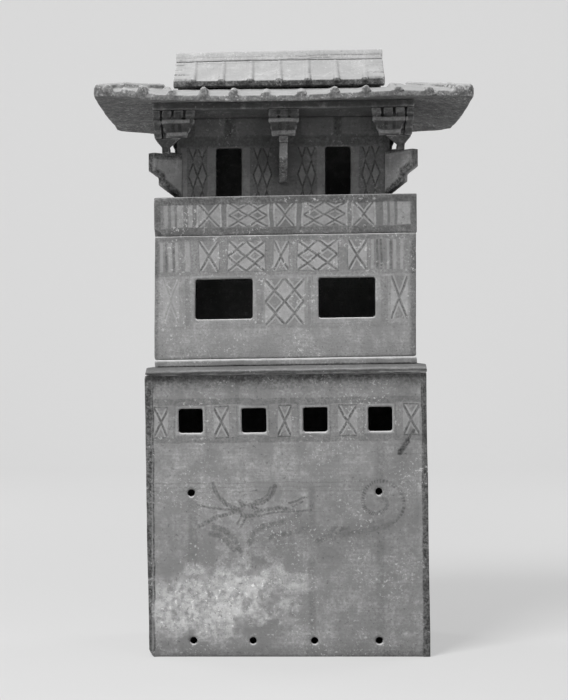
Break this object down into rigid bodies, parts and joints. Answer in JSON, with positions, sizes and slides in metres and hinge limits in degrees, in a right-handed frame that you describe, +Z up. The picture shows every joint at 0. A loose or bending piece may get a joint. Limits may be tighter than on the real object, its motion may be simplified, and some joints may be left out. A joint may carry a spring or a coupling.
{
  "type": "pottery watchtower",
  "caption": "Stacked earthenware model of a three-storey watchtower: pierced box storeys, balcony room with bracketed eaves, tiled roofs; each storey and roof lifts off.",
  "frame": {"origin": "middle of the footprint, on the flat underside that the tower stands on", "axes": "+Z up, -Y towards the front with the windows and doors, +X to the right as seen from the front"},
  "size_m": [0.5586, 0.3892, 0.9285],
  "materials": {
    "painted_slip": "matt",
    "grey_earthenware": "matt",
    "shaded_earthenware": "matt",
    "dusty_tile": "matt"
  },
  "bodies": {
    "lower_storey": {"lower_floor": "grey_earthenware", "lower_front_wall": "painted_slip", "lower_back_wall": "painted_slip", "lower_left_wall": "painted_slip", "lower_right_wall": "painted_slip", "lower_cornice": "painted_slip"},
    "middle_storey": {"middle_plinth": "painted_slip", "middle_front_wall": "painted_slip", "middle_back_wall": "painted_slip", "middle_left_wall": "painted_slip", "middle_right_wall": "painted_slip"},
    "upper_storey": {"balcony_floor": "grey_earthenware", "parapet_front": "painted_slip", "parapet_back": "painted_slip", "parapet_left": "painted_slip", "parapet_right": "painted_slip", "room_front_wall": "painted_slip", "room_back_wall": "painted_slip", "room_left_wall": "painted_slip", "room_right_wall": "painted_slip", "eave_frame": "shaded_earthenware", "centre_arm": "grey_earthenware", "centre_stem": "shaded_earthenware", "centre_bracket": "shaded_earthenware", "corner_arm_front_left": "shaded_earthenware", "bracket_foot_front_left": "shaded_earthenware", "bracket_long_front_left": "shaded_earthenware", "bracket_short_front_left": "shaded_earthenware", "corner_arm_front_right": "shaded_earthenware", "bracket_foot_front_right": "shaded_earthenware", "bracket_long_front_right": "shaded_earthenware", "bracket_short_front_right": "shaded_earthenware", "corner_arm_back_left": "shaded_earthenware", "bracket_foot_back_left": "shaded_earthenware", "bracket_long_back_left": "shaded_earthenware", "bracket_short_back_left": "shaded_earthenware", "corner_arm_back_right": "shaded_earthenware", "bracket_foot_back_right": "shaded_earthenware", "bracket_long_back_right": "shaded_earthenware", "bracket_short_back_right": "shaded_earthenware"},
    "main_roof": {"main_roof": "dusty_tile"},
    "ridge_roof": {"ridge_roof": "dusty_tile", "ridge_beam": "dusty_tile"}
  },
  "joints": [
    {"name": "middle_lift", "type": "slide", "parent": "lower_storey", "child": "middle_storey", "axis": [0, 0, 1], "range_m": [0, 0.08]},
    {"name": "upper_lift", "type": "slide", "parent": "middle_storey", "child": "upper_storey", "axis": [0, 0, 1], "range_m": [0, 0.08]},
    {"name": "roof_lift", "type": "slide", "parent": "upper_storey", "child": "main_roof", "axis": [0, 0, 1], "range_m": [0, 0.08]},
    {"name": "ridge_lift", "type": "slide", "parent": "main_roof", "child": "ridge_roof", "axis": [0, 0, 1], "range_m": [0, 0.08]}
  ]
}
